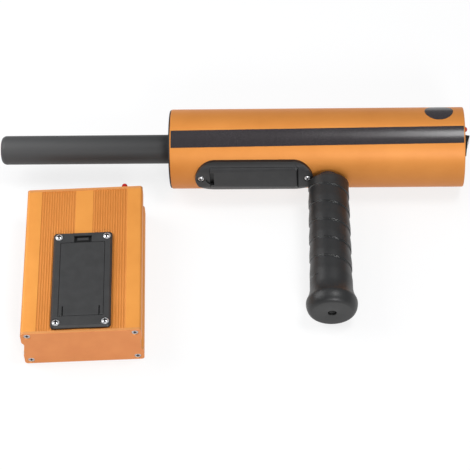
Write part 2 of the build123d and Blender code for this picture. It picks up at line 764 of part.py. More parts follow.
receiver = {
    "body_tube": body_tube(),
    "front_cap": front_cap(),
    "antenna_rod": antenna_rod(),
    "ferrite_core": core,
    "coil_bobbin": bobbin,
    "coil_winding": winding,
    "rear_cap": rear_cap(),
    "rear_switch": rear_switch_frame * switch_housing(),
    "rear_rocker": rear_switch_frame * switch_rocker(),
    "rear_led": rear_led_frame * led(rear_led_stem, rear_cap_thickness + 0.02),
    "receiver_board": rear_board * circuit_board(62, 43.6, board_thickness),
    "receiver_components": rear_board * Pos(0, 0, board_thickness + 0.02)
    * board_parts(62, [(0.3, 0), (0.6, -10)], [(0.25, 12), (0.7, 10)]),
    "label_strip": label_strip(),
    "round_label": round_label(),
    "battery_box": cover_frame * battery_box(),
    "battery_lid": cover_frame * battery_lid(),
    "lid_hinge_pin": cover_frame * lid_hinge_pin(),
    "battery_box_screws": cover_frame * battery_box_screws(),
    "receiver_battery": cover_frame * bay_top * block_batteries(1),
    "receiver_contacts": cover_frame * bay_top * battery_contacts(1),
    "bearing_housing": handle_frame * bearing_housing(),
    "saddle_washer": handle_frame * saddle_washer(),
    "neck_nut": handle_frame * neck_nut(),
    "bearing_outer_rings": handle_frame * bearing_rings(bearing_radius, 6.3),
    "bearing_inner_rings": handle_frame * bearing_rings(6.0, shaft_radius + 0.02),
    "bearing_spacer": handle_frame * bearing_spacer(),
    "handle_shaft": handle_frame * handle_shaft(),
    "shaft_nut": handle_frame * shaft_nut(),
    "handle_core": handle_frame * handle_core(),
    "grip": handle_frame * grip(),
}

transmitter = {
    "case_bottom": case_bottom(),
    "case_top": case_top(),
    "near_plate": end_plate(),
    "far_plate": far_plate(),
    "plate_screws": plate_screws(),
    "battery_holder": battery_holder(),
    "holder_screws": holder_screws(),
    "battery_door": battery_door(),
    "transmitter_batteries": holder_bay * block_batteries(2),
    "transmitter_contacts": holder_bay * battery_contacts(2),
    "transmitter_board": case_board * circuit_board(130, 88, board_thickness),
    "transmitter_components": case_board * Pos(0, 0, board_thickness + 0.02)
    * board_parts(130, [(0.8, -20), (0.8, 0)], [(0.85, 20), (0.92, 28)]),
    "panel_switch": on_panel(*panel_switch) * switch_housing(),
    "panel_rocker": on_panel(*panel_switch) * switch_rocker(),
    "panel_led": on_panel(*panel_led) * led(4.8, 3.45),
    "panel_led_bezel": on_panel(*panel_led) * panel_led_bezel(),
    "probe_socket_red": on_panel(panel_sockets["red"], socket_height) * probe_socket(),
    "probe_socket_black": on_panel(panel_sockets["black"], socket_height) * probe_socket(),
}

# The receiver lies on its side with its pommel on the table, the transmitter stands beside the rod
receiver_place = Pos(0, 0, tube_radius) * Rot(droop - 90, 0, 0)
transmitter_place = Pos(*case_centre, 0) * Rot(0, 0, case_turn)
placed = {name: receiver_place * shape for name, shape in receiver.items()}
placed.update({name: transmitter_place * shape for name, shape in transmitter.items()})

boxes = [shape.bounding_box() for shape in placed.values()]
middle_x = (min(box.min.X for box in boxes) + max(box.max.X for box in boxes)) / 2
middle_y = (min(box.min.Y for box in boxes) + max(box.max.Y for box in boxes)) / 2
to_origin = Pos(-middle_x, -middle_y, 0)

os.makedirs("parts", exist_ok=True)
for name, shape in placed.items():
    export_step(to_origin * shape, f"parts/{name}.step")
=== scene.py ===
import json
from math import radians

import bmesh
import bpy
import numpy as np
from mathutils import Matrix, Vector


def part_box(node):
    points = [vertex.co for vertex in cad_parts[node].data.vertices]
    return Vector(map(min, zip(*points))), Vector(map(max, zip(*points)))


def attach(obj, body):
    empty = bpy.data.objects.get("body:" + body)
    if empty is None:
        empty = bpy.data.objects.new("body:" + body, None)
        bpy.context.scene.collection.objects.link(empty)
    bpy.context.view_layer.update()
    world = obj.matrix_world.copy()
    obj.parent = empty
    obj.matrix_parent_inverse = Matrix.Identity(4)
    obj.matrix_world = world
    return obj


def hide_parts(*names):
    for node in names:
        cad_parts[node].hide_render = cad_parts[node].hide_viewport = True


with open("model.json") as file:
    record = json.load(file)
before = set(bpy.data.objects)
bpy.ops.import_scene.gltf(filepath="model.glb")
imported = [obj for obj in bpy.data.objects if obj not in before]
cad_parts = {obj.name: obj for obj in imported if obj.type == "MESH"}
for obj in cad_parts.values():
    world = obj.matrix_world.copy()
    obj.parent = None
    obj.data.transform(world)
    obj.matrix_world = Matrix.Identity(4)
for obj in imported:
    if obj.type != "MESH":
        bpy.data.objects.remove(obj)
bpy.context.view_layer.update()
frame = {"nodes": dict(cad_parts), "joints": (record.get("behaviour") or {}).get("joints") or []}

# Body tube: a drawn aluminium tube, cut to length with small chamfers at both ends, then satin
# anodised orange. Its wall is open where the battery box drops in, under the box's flange.

joints = {joint["name"]: joint for joint in frame["joints"]}
swivel = joints["handle_swivel"]
swivel_reach = 0.038
along = np.array((1.0, 0.0, 0.0))
grip_axis = np.array(swivel["axis"])
grip_way = grip_axis * (0, 1, 1) / np.linalg.norm(grip_axis[1:])
up_way = np.cross(grip_way, along)
handle_root = np.array(swivel["pos_m"]) - swivel_reach * grip_axis
body_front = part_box("front_cap")[0].x
body_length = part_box("rear_cap")[1].x - body_front
body_start = np.array((body_front, handle_root[1], handle_root[2]))
tube_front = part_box("body_tube")[0].x - body_front
tube_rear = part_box("body_tube")[1].x - body_front
tube_radius = 0.034
tube_bore = 0.0315
tube_bore_shown = 0.012
tube_chamfer = 0.0006
tube_edge_round = 0.0003
box_middle = 0.0722
box_roll = radians(8.15)
box_opening = (0.0776, 0.0263)
opening_columns = 24
wall_columns = 151


def outward(roll):
    """Unit vector square to the tube: cos(roll) towards the grip plus sin(roll) towards the upper side."""
    roll = np.asarray(roll)[..., None]
    return np.cos(roll) * grip_way + np.sin(roll) * up_way


def rounded(corners, radius, steps=4):
    """An outline whose inner corners become arcs. Each arc swings between the two spokes from its centre to
    its ends, which lie equally far back along both sides of the corner. An arc takes less than half of a
    side, and a corner that hardly turns stays a point."""
    corners = np.asarray(corners, float)
    share = np.linspace(0, 1, steps + 1)[:, None]
    most_of_side = 0.45
    least_turn = 0.02
    outline = [corners[:1]]
    for before, corner, after in zip(corners, corners[1:], corners[2:]):
        back = before - corner
        on = after - corner
        room = most_of_side * min(np.linalg.norm(back), np.linalg.norm(on))
        back = back / np.linalg.norm(back)
        on = on / np.linalg.norm(on)
        half = np.arccos(np.clip(back @ on, -1, 1)) / 2
        sweep = np.pi - 2 * half
        if sweep < least_turn:
            outline.append(corner[None])
            continue
        reach = min(radius / np.tan(half), room)
        centre = corner + (back + on) / np.linalg.norm(back + on) * reach / np.cos(half)
        first = corner + back * reach - centre
        last = corner + on * reach - centre
        swing = np.sin((1 - share) * sweep) * first + np.sin(share * sweep) * last
        outline.append(centre + swing / np.sin(sweep))
    outline.append(corners[-1:])
    return np.concatenate(outline)


def closed_ring(grid):
    """A grid with its first column repeated after its last."""
    return np.concatenate((grid, grid[:, :1]), axis=1)


def grid_piece(name, grids, around=False, keep=None, second=None, polish=None, sharp=30):
    """A mesh from grids of points, joined row to row and column to column. around closes the columns,
    keep marks the cells that stay and second those that take the piece's second finish, polish says how
    far each point is rubbed smooth, and edges sharper than the given angle keep a crease."""
    vertices = []
    quads = []
    merge_distance = 1e-7
    kept = slice(None) if keep is None else keep
    for points in grids:
        rows, columns = points.shape[:2]
        index = np.arange(rows * columns).reshape(rows, columns) + sum(len(v) for v in vertices)
        if around:
            index = closed_ring(index)
        corners = np.stack((index[:-1, :-1], index[:-1, 1:], index[1:, 1:], index[1:, :-1]), axis=-1)
        quads.append(corners[kept].reshape(-1, 4))
        vertices.append(points.reshape(-1, 3))
    mesh = bpy.data.meshes.new(name)
    mesh.from_pydata(np.concatenate(vertices).tolist(), [], np.concatenate(quads).tolist())
    if second is not None:
        finish_index = np.tile(second[kept].ravel(), len(grids)).astype(np.int32)
        mesh.polygons.foreach_set("material_index", finish_index)
    if polish is not None:
        rubbed = mesh.attributes.new("polish", "FLOAT", "POINT")
        rubbed.data.foreach_set("value", polish.astype(np.float32))
    work = bmesh.new()
    work.from_mesh(mesh)
    bmesh.ops.remove_doubles(work, verts=work.verts, dist=merge_distance)
    work.to_mesh(mesh)
    work.free()
    mesh.shade_smooth()
    mesh.set_sharp_from_angle(angle=radians(sharp))
    piece = bpy.data.objects.new(name, mesh)
    bpy.context.scene.collection.objects.link(piece)
    return piece


def srgb(red, green, blue):
    """A colour given as a screen shows it, 0 to 255, turned into linear light by the sRGB curve."""
    value = np.array((red, green, blue)) / 255
    return (*np.where(value <= 0.04045, value / 12.92, ((value + 0.055) / 1.055) ** 2.4), 1.0)


def new_finish(name, roughness, metallic=0.0):
    """A new material, with its node tree and its shader."""
    finish = bpy.data.materials.new(name)
    finish.use_nodes = True
    shader = finish.node_tree.nodes["Principled BSDF"]
    shader.inputs["Roughness"].default_value = roughness
    shader.inputs["Metallic"].default_value = metallic
    return finish, finish.node_tree, shader


def cells(tree, per_metre, stretch=(1, 1, 1), detail=4.0, turn=0.0):
    """Noise with about that many cells to the metre, each drawn out by the stretch along axes that are
    turned by an angle about the vertical."""
    place = tree.nodes.new("ShaderNodeTexCoord")
    mapping = tree.nodes.new("ShaderNodeMapping")
    mapping.vector_type = "TEXTURE"
    mapping.inputs["Scale"].default_value = stretch
    mapping.inputs["Rotation"].default_value = (0, 0, turn)
    noise = tree.nodes.new("ShaderNodeTexNoise")
    noise.inputs["Scale"].default_value = per_metre
    noise.inputs["Detail"].default_value = detail
    tree.links.new(place.outputs["Object"], mapping.inputs["Vector"])
    tree.links.new(mapping.outputs["Vector"], noise.inputs["Vector"])
    return noise.outputs["Fac"]


def two_tone(tree, shader, factor, dark, light, low=0.3, high=0.7):
    """Base colour that runs from dark to light as the factor rises from low to high."""
    ramp = tree.nodes.new("ShaderNodeValToRGB")
    ramp.color_ramp.elements[0].position = low
    ramp.color_ramp.elements[0].color = dark
    ramp.color_ramp.elements[1].position = high
    ramp.color_ramp.elements[1].color = light
    tree.links.new(factor, ramp.inputs["Fac"])
    tree.links.new(ramp.outputs["Color"], shader.inputs["Base Color"])


def uneven_gloss(tree, shader, factor, low, high):
    """Roughness that runs between two values with the factor."""
    span = tree.nodes.new("ShaderNodeMapRange")
    span.inputs["To Min"].default_value = low
    span.inputs["To Max"].default_value = high
    tree.links.new(factor, span.inputs["Value"])
    tree.links.new(span.outputs["Result"], shader.inputs["Roughness"])


def relief(tree, shader, factor, depth, strength):
    """Surface height that follows the factor, over that depth in metres."""
    bump = tree.nodes.new("ShaderNodeBump")
    bump.inputs["Strength"].default_value = strength
    bump.inputs["Distance"].default_value = depth
    tree.links.new(factor, bump.inputs["Height"])
    tree.links.new(bump.outputs["Normal"], shader.inputs["Normal"])


def anodised(name, stretch, dark, light, turn=0.0):
    """Satin anodised aluminium: faint cloudiness in the dye and fine drawing lines along the extrusion."""
    finish, tree, shader = new_finish(name, roughness=0.55, metallic=0.38)
    shader.inputs["Coat Weight"].default_value = 0.4
    shader.inputs["Coat Roughness"].default_value = 0.4
    shader.inputs["Specular Tint"].default_value = srgb(255, 176, 120)
    two_tone(tree, shader, cells(tree, per_metre=40), dark, light)
    lines = cells(tree, per_metre=5000, stretch=stretch, detail=2.0, turn=turn)
    uneven_gloss(tree, shader, lines, low=0.5, high=0.6)
    relief(tree, shader, lines, depth=0.000003, strength=0.3)
    return finish


def settle(piece, finish, slot, body, *nodes):
    """Gives a piece its finish, and lets it ride on its body in place of the nodes that it stands for."""
    piece.data.materials.append(finish)
    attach(piece, body)
    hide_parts(*nodes)


half_opening = np.arcsin(box_opening[1] / 2 / tube_radius)
opening_start = box_middle - box_opening[0] / 2
opening_end = box_middle + box_opening[0] / 2
tube_corners = [(tube_bore, tube_rear - tube_bore_shown), (tube_bore, tube_rear),
                (tube_radius - tube_chamfer, tube_rear), (tube_radius, tube_rear - tube_chamfer),
                (tube_radius, opening_end), (tube_radius, opening_start),
                (tube_radius, tube_front + tube_chamfer), (tube_radius - tube_chamfer, tube_front),
                (tube_bore, tube_front), (tube_bore, tube_front + tube_bore_shown)]
tube_profile = rounded(tube_corners, tube_edge_round)
opening_roll = np.linspace(-half_opening, half_opening, opening_columns + 1)
wall_roll = np.linspace(half_opening, 2 * np.pi - half_opening, wall_columns + 1)[1:-1]
tube_roll = np.concatenate((opening_roll, wall_roll)) + box_roll
# Each profile row is a ring: its distance along the tube's axis, and its radius outward at every roll.
tube_points = (body_start + tube_profile[:, 1, None, None] * along
               + tube_profile[:, 0, None, None] * outward(tube_roll))
on_outside = tube_profile[:-1, 0] > (tube_bore + tube_radius) / 2
tube_middles = (tube_profile[:-1, 1] + tube_profile[1:, 1]) / 2
in_opening = on_outside & (abs(tube_middles - box_middle) < box_opening[0] / 2)
tube_keep = ~(in_opening[:, None] & (np.arange(len(tube_roll)) < opening_columns))
tube_finish = anodised("tube_orange", (60, 1, 1), srgb(225, 145, 66), srgb(232, 152, 72))
tube_body = grid_piece("tube_body", [tube_points], around=True, keep=tube_keep)
settle(tube_body, tube_finish, "anodised_orange", "receiver", "body_tube")

# Strip label and round label: plain dark film with a clear laminate, cut to shape and stuck on the
# tube, the strip a little askew from end to end. A faint speckle shows under the gloss.

film_low = 0.00002
film_high = 0.00024
strip_inset = 0.0010
strip_ends = (tube_front + strip_inset, tube_rear - strip_inset)
strip_end_rolls = (radians(67.8), radians(71.8))
strip_width = radians(25.4)
strip_rows = 60
strip_columns = 24
round_place = 0.2288
round_roll = radians(116.4)
round_radius = 0.012
round_rings = 10
round_segments = 72


def film_finish():
    """Laminated film: a fine speckle in the dark layer, under an uneven gloss."""
    finish, tree, shader = new_finish("label_film", roughness=0.2)
    speckle = cells(tree, per_metre=2600, detail=2.0)
    two_tone(tree, shader, speckle, srgb(40, 36, 38), srgb(70, 64, 67), low=0.42, high=0.7)
    uneven_gloss(tree, shader, cells(tree, per_metre=60), low=0.16, high=0.26)
    return finish


def with_skirt(values):
    """A row of values with both end values repeated, and how far each stands up: 0 at the repeats, else 1."""
    rise = np.ones(len(values) + 2)
    rise[[0, -1]] = 0
    return np.concatenate((values[:1], values, values[-1:])), rise


label_finish = film_finish()
strip_x, row_rise = with_skirt(np.linspace(*strip_ends, strip_rows))
strip_across, column_rise = with_skirt(np.linspace(-0.5, 0.5, strip_columns))
strip_middle_roll = np.interp(strip_x, strip_ends, strip_end_rolls)
strip_roll = strip_middle_roll[:, None] - strip_width * strip_across
strip_rise = film_low + (film_high - film_low) * row_rise[:, None] * column_rise
# Rows run along the tube and columns round it, at rolls that drift from one end to the other.
strip_points = (body_start + strip_x[:, None, None] * along
                + (tube_radius + strip_rise)[..., None] * outward(strip_roll))
strip_label = grid_piece("strip_label", [strip_points])
settle(strip_label, label_finish, "label_black", "receiver", "label_strip")

round_spread = np.concatenate((np.linspace(0, 1, round_rings), [1.0]))[:, None] * round_radius
round_clock = np.linspace(0, -2 * np.pi, round_segments, endpoint=False)
round_rise = np.concatenate((np.full(round_rings, film_high), [film_low]))
# A flat disc of rings, wrapped on the tube: the distance across it becomes a roll of distance / radius.
round_x = round_place + round_spread * np.cos(round_clock)
round_out = outward(round_roll + round_spread * np.sin(round_clock) / tube_radius)
round_points = (body_start + round_x[..., None] * along
                + (tube_radius + round_rise)[:, None, None] * round_out)
round_sticker = grid_piece("round_sticker", [round_points], around=True)
settle(round_sticker, label_finish, "label_black", "receiver", "round_label")

# Antenna rod and front cap: a satin black plastic tube with a rounded closed tip, which holds the
# pickup coil, and the moulded cap, set just inside the tube's end, that the rod is fixed in.

rod_radius = 0.0124
rod_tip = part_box("antenna_rod")[0].x - body_front
rod_tip_round = 0.0045
rod_seat = 0.012
rod_segments = 112
cap_bore = rod_radius + 0.00005
cap_bore_shown = 0.004
cap_groove = (0.0150, 0.0162)
cap_groove_depth = 0.0004
cap_groove_slope = 0.0002
cap_edge_round = 0.0003
flange_radius = 0.0335
flange_chamfer = 0.0006


def turned(profile, origin, axis, side, segments=144):
    """A profile of (radius, height) rows carried round an axis:
    origin + height * axis + radius * (cos * side + sin * across)."""
    turn = np.linspace(0, 2 * np.pi, segments, endpoint=False)[:, None]
    ring = np.cos(turn) * side + np.sin(turn) * np.cross(axis, side)
    profile = np.asarray(profile, float)
    return origin + profile[:, 1, None, None] * axis + profile[:, 0, None, None] * ring


def height_along(tree, way, low, high):
    """Runs from 0 to 1 as a point's height along the way goes from low to high."""
    place = tree.nodes.new("ShaderNodeTexCoord")
    height = tree.nodes.new("ShaderNodeVectorMath")
    height.operation = "DOT_PRODUCT"
    height.inputs[1].default_value = way
    span = tree.nodes.new("ShaderNodeMapRange")
    span.inputs["From Min"].default_value = low
    span.inputs["From Max"].default_value = high
    tree.links.new(place.outputs["Object"], height.inputs[0])
    tree.links.new(height.outputs["Value"], span.inputs["Value"])
    return span.outputs["Result"]


def rod_plastic():
    """Satin black tube, painted paler towards the tip as painted light, with fine drawing lines along it."""
    finish, tree, shader = new_finish("rod_black", roughness=0.54)
    painted_light_to_tip = height_along(tree, along, body_front, body_front + rod_tip)
    two_tone(tree, shader, painted_light_to_tip, srgb(48, 48, 48), srgb(71, 71, 71), low=0, high=1)
    lines = cells(tree, per_metre=3000, stretch=(40, 1, 1), detail=2.0)
    uneven_gloss(tree, shader, lines, low=0.48, high=0.6)
    relief(tree, shader, lines, depth=0.000004, strength=0.5)
    return finish


def tint_below(tree, shader, way, low, high, tint):
    """Multiplies the base colour by the tint, which fades in as the height along the way falls from high
    to low."""
    tone = shader.inputs["Base Color"].links[0].from_socket
    fade = tree.nodes.new("ShaderNodeValToRGB")
    fade.color_ramp.elements[0].color = (*tint, 1)
    fade.color_ramp.elements[1].color = (1, 1, 1, 1)
    product = tree.nodes.new("ShaderNodeVectorMath")
    product.operation = "MULTIPLY"
    tree.links.new(height_along(tree, way, low, high), fade.inputs["Fac"])
    tree.links.new(tone, product.inputs[0])
    tree.links.new(fade.outputs["Color"], product.inputs[1])
    tree.links.new(product.outputs["Vector"], shader.inputs["Base Color"])


def black_plastic(name, dark, light, roughness, grain, hollow_shade=None):
    """Moulded black plastic: a fine spark-eroded grain, and slight changes of tone and gloss. hollow_shade
    gives a way, and the two heights along it below which the plastic is painted darker, as painted shade down
    in its hollows."""
    finish, tree, shader = new_finish(name, roughness)
    gloss_change = 0.06
    two_tone(tree, shader, cells(tree, per_metre=120), dark, light)
    # Painted shade: the base colour is multiplied darker below the given heights, down in the hollows.
    if hollow_shade:
        tint_below(tree, shader, *hollow_shade, tint=(0.1, 0.1, 0.1))
    uneven_gloss(tree, shader, cells(tree, per_metre=300), roughness - gloss_change, roughness + gloss_change)
    relief(tree, shader, cells(tree, per_metre=3000, detail=2.0), depth=grain, strength=0.5)
    return finish


rod_finish = rod_plastic()
rod_profile = rounded([(0, rod_tip), (rod_radius, rod_tip), (rod_radius, rod_seat)], rod_tip_round, steps=10)
rod_points = turned(rod_profile, body_start, along, grip_way, rod_segments)
rod_tube = grid_piece("rod_tube", [rod_points], around=True)
settle(rod_tube, rod_finish, "rod_black", "receiver", "antenna_rod")

cap_finish = black_plastic("cap_black", srgb(26, 26, 27), srgb(34, 34, 36), roughness=0.5, grain=0.00002)
cap_corners = [(cap_bore, cap_bore_shown), (cap_bore, 0), (cap_groove[0], 0),
               (cap_groove[0] + cap_groove_slope, cap_groove_depth),
               (cap_groove[1] - cap_groove_slope, cap_groove_depth), (cap_groove[1], 0),
               (flange_radius - flange_chamfer, 0), (flange_radius, flange_chamfer),
               (flange_radius, tube_front), (tube_bore, tube_front)]
cap_points = turned(rounded(cap_corners, cap_edge_round), body_start, along, grip_way)
front_cap_face = grid_piece("front_cap_face", [cap_points], around=True)
settle(front_cap_face, cap_finish, "black_plastic", "receiver", "front_cap")

# Rear cap, rocker switch and light: a moulded cap pressed into the tube's end, with a snap-in rocker
# switch at its centre and a small red light pushed through it on the side away from the grip.

light_radius = 0.0025
light_root = 0.003
light_segments = 48
rear_light_stem = 0.0024
rear_light_height = 0.0185
switch_edge = 0.0003


def dress(finish, *nodes):
    """Puts a finish on nodes that are shown as they are."""
    for node in nodes:
        frame["nodes"][node].data.materials.clear()
        frame["nodes"][node].data.materials.append(finish)


def soften(width, *nodes):
    """Welds each node's loose triangles and rounds its sharp edges by that width. The largest faces set the
    shading where faces meet, so that flat faces stay flat up to their rounds."""
    for node in nodes:
        piece = frame["nodes"][node]
        piece.data.shade_smooth()
        weld = piece.modifiers.new("weld", "WELD")
        weld.merge_threshold = 1e-6
        edges = piece.modifiers.new("edges", "BEVEL")
        edges.width = width
        edges.segments = 2
        edges.limit_method = "ANGLE"
        edges.angle_limit = radians(32)
        flats = piece.modifiers.new("flats", "WEIGHTED_NORMAL")
        flats.mode = "FACE_AREA"
        flats.weight = 75


def resin_finish():
    """Tinted light resin: red glass-clear plastic with a slightly cloudy body."""
    finish, tree, shader = new_finish("light_resin", roughness=0.12)
    two_tone(tree, shader, cells(tree, per_metre=500), srgb(196, 24, 20), srgb(216, 38, 30))
    shader.inputs["Transmission Weight"].default_value = 0.1
    shader.inputs["IOR"].default_value = 1.5
    uneven_gloss(tree, shader, cells(tree, per_metre=250), low=0.08, high=0.18)
    return finish


def arc(centre, radii, start, end, steps):
    """(radius, height) rows on a quarter of an ellipse or less: centre + (a * cos, b * sin) of the angle."""
    turn = np.linspace(start, end, steps)[:, None]
    return np.array(centre) + np.array(radii) * np.hstack((np.cos(turn), np.sin(turn)))


def light_profile(stem):
    """(radius, height) rows of a light: a straight stem from inside its seat, then a quarter circle to its
    tip."""
    dome = arc((0, stem), (light_radius, light_radius), 0, np.pi / 2, steps=12)
    return np.concatenate(([(light_radius, -light_root)], dome))


switch_tones = (srgb(20, 20, 21), srgb(27, 27, 28))
switch_finish = black_plastic("switch_black", *switch_tones, roughness=0.3, grain=0.000006)
rocker_finish = black_plastic("rocker_black", *switch_tones, roughness=0.14, grain=0.000003)
light_finish = resin_finish()
dress(cap_finish, "rear_cap")
dress(switch_finish, "rear_switch")
dress(rocker_finish, "rear_rocker")
soften(switch_edge, "rear_switch", "rear_rocker")
rear_light_seat = body_start + body_length * along - rear_light_height * grip_way
rear_light_points = turned(light_profile(rear_light_stem), rear_light_seat, along, grip_way, light_segments)
rear_light = grid_piece("rear_light", [rear_light_points], around=True)
settle(rear_light, light_finish, "led_red", "receiver", "rear_led")

# Battery box and lid: a moulded obround box with sloped long sides, saddled on the tube and held by
# two screws. The lid turns on a blackened steel pin and lifts by a finger slot at its front end.

box_edge = 0.00035
box_out = outward(box_roll)
# Heights above the tube's axis below which the box and lid are painted dark: painted shade in the finger
# slot.
box_slot_shade = body_start @ box_out + np.array((0.0331, 0.0343))
box_screw_spacing = 0.0902
box_screw_land = 0.0352
upright = np.array((0, 0, 1.0))
head_rings = 26
head_segments = 72
recess_half_width = 0.2
recess_length = 0.64
recess_slope = 0.06
recess_rise = 0.35
recess_depth = 0.5
recess_least = 0.25


def plated_finish(name, tone):
    """Zinc plating on steel: bright, with fine turning marks and a few dull patches."""
    finish, tree, shader = new_finish(name, roughness=0.3, metallic=0.65)
    dull = tone - 30
    two_tone(tree, shader, cells(tree, per_metre=700), srgb(dull, dull, dull + 2), srgb(tone, tone, tone))
    uneven_gloss(tree, shader, cells(tree, per_metre=1800), low=0.2, high=0.36)
    return finish


head_spread = np.concatenate(([1.0], np.linspace(1, 0, head_rings)))
head_rows = np.column_stack((head_spread, np.zeros(head_rings + 1)))
head_disc = turned(head_rows, np.zeros(3), upright, along, head_segments)[..., :2]


def cross_depth():
    """Share of the driver recess's depth at each point of a head one unit in radius: 1 at the middle of the
    cross, evenly less out along its arms, and down to 0 over a narrow slope at its walls."""
    near, far = np.moveaxis(np.sort(abs(head_disc), axis=-1), -1, 0)
    in_width = np.clip((recess_half_width - near) / recess_slope, 0, 1)
    in_length = np.clip((recess_length - far) / recess_slope, 0, 1)
    return in_width * in_length * (1 - recess_rise * far)


def cross_head(seat, way, side, radius, skirt, crown):
    """A screw head on a polar grid: a straight skirt, a dome that falls with the square of the radius, and
    a cross-shaped driver recess half a radius deep."""
    height = skirt + crown * (1 - head_spread ** 2)
    height[0] = 0
    height = height[:, None] - recess_depth * radius * cross_depth()
    points = np.dstack((head_disc * radius, height))
    return seat + points @ np.array((side, np.cross(way, side), way))


def screw_heads(name, heads, finish, body, node):
    """One piece for a group of like heads, whose recesses take a darker steel as painted shade. A cell lies
    in the recess where the mean depth of its four corners says so."""
    depth = closed_ring(cross_depth())
    recess = (depth[:-1, :-1] + depth[1:, :-1] + depth[:-1, 1:] + depth[1:, 1:]) / 4 > recess_least
    piece = grid_piece(name, heads, around=True, second=recess)
    settle(piece, finish, "steel", body, node)
    piece.data.materials.append(recess_shade_finish)


# Painted shade: the floor of the finger slot is painted dark.
box_finish = black_plastic("box_black", srgb(39, 39, 40), srgb(47, 47, 48), roughness=0.42, grain=0.00002,
                           hollow_shade=(box_out, *box_slot_shade))
dress(box_finish, "battery_box", "battery_lid", "lid_hinge_pin")
soften(box_edge, "battery_box", "battery_lid")
steel_finish = plated_finish("plated_steel", tone=235)
# Painted shade: the driver recesses take this darker steel.
recess_shade_finish = plated_finish("recess_painted_shade", tone=95)
box_heads = []
for end in (-1, 1):
    screw_place = box_middle + end * box_screw_spacing / 2
    screw_seat = body_start + screw_place * along + box_screw_land * box_out
    box_heads.append(cross_head(screw_seat, box_out, along, radius=0.00265, skirt=0.0007, crown=0.0013))
screw_heads("box_screws", box_heads, steel_finish, "receiver", "battery_box_screws")

# Block batteries and their spring contacts: one in the receiver and two in the transmitter, each in a
# plain metal jacket with snap terminals, against leaves bent from nickel-plated strip.


def jacket_finish():
    """Drawn steel jacket: an even grey with fine lines down its length and a slightly uneven gloss."""
    finish, tree, shader = new_finish("battery_jacket", roughness=0.35, metallic=0.8)
    lines = cells(tree, per_metre=4000, stretch=(40, 1, 1), detail=2.0)
    two_tone(tree, shader, lines, srgb(112, 115, 120), srgb(124, 127, 132))
    uneven_gloss(tree, shader, cells(tree, per_metre=60), low=0.32, high=0.38)
    relief(tree, shader, lines, depth=0.000003, strength=0.3)
    return finish


dress(jacket_finish(), "receiver_battery", "transmitter_batteries")
dress(plated_finish("nickel_strip", tone=190), "receiver_contacts", "transmitter_contacts")

# Handle swivel: a housing inside the tube holds two shielded ball bearings on a steel shaft. Its neck
# comes out through the tube's wall and is clamped by a saddle washer and a slotted ring nut.

neck_edge = 0.0003
dress(cap_finish, "bearing_housing", "bearing_spacer", "saddle_washer", "neck_nut", "handle_core")
dress(steel_finish, "bearing_outer_rings", "bearing_inner_rings", "handle_shaft", "shaft_nut")
soften(neck_edge, "saddle_washer", "neck_nut")

# Grip: a moulded rubber sleeve pushed on the handle's core. A saw-tooth step winds up its barrel, the
# foot swells into a rounded pommel, and a vent hole shows in the end.

grip_steps = 160
mouth_bore = 0.0121
mouth_round = 0.0014
grip_start = 0.038
barrel_start = 0.042
barrel_radius = 0.0172
flare_start = 0.1425
foot_radius = 0.0177
pommel_height = 0.1575
pommel_radius = 0.02117
pommel_round = 0.0064
grip_end = 0.1665
end_radius = 0.0162
end_flat = 0.001
vent_radius = 0.0035
vent_depth = 0.0025
vent_round = 0.0006
spiral_pitch = 0.01808
spiral_turns = 7
spiral_first = 0.0488
spiral_laps = 5.25
spiral_top = spiral_first + spiral_laps * spiral_pitch
spiral_span = (0.0425, 0.1370)
spiral_fade = 0.002
spiral_depth = 0.0008
notch_wall = 0.0007
notch_run = 0.0111
notch_open = (0.002, spiral_pitch - 0.001)
polish_past_lip = (0.0009, 0.0013)
polish_before_lip = (0.0003, 0.0008)
lip_rows = (0.0008, 0.0005, 0.0003, 0)
lip_polish = 0.27
grip_side = along - (along @ grip_axis) * grip_axis
grip_side /= np.linalg.norm(grip_side)


def smooth(value, low, high):
    """0 below low, 1 above high, and an even S-curve between."""
    share = np.clip((value - low) / (high - low), 0, 1)
    return share * share * (3 - 2 * share)


def grip_ends():
    """(radius, distance from the tube's axis) rows of the grip's mouth, from its bore to its barrel, and of
    its foot, from the barrel to the vent hole. The flare is the arc that touches both the barrel's foot and
    the round of the pommel's rim, and a quarter of an ellipse turns from the rim into the flat end."""
    ring = pommel_radius - pommel_round
    reach = pommel_height - flare_start
    inset = foot_radius - ring
    flare_radius = (inset ** 2 + reach ** 2 - pommel_round ** 2) / (2 * (pommel_round - inset))
    lean = np.arctan2(reach, inset + flare_radius)
    mouth = rounded([(mouth_bore, grip_start), (barrel_radius, grip_start), (barrel_radius, barrel_start)],
                    mouth_round, steps=6)
    flare = arc((foot_radius + flare_radius, flare_start), (-flare_radius, flare_radius), 0, lean, steps=24)
    rim = arc((ring, pommel_height), (pommel_round, pommel_round), -lean, 0, steps=12)
    crown_radii = (pommel_radius - end_radius, grip_end - pommel_height)
    crown = arc((end_radius, pommel_height), crown_radii, 0, np.pi / 2, steps=18)
    vent_floor = grip_end - vent_depth
    end = rounded([(end_radius - end_flat, grip_end), (vent_radius, grip_end), (vent_radius, vent_floor),
                   (0, vent_floor)], vent_round)
    return mouth, np.concatenate((flare, rim[1:], crown[1:], end))


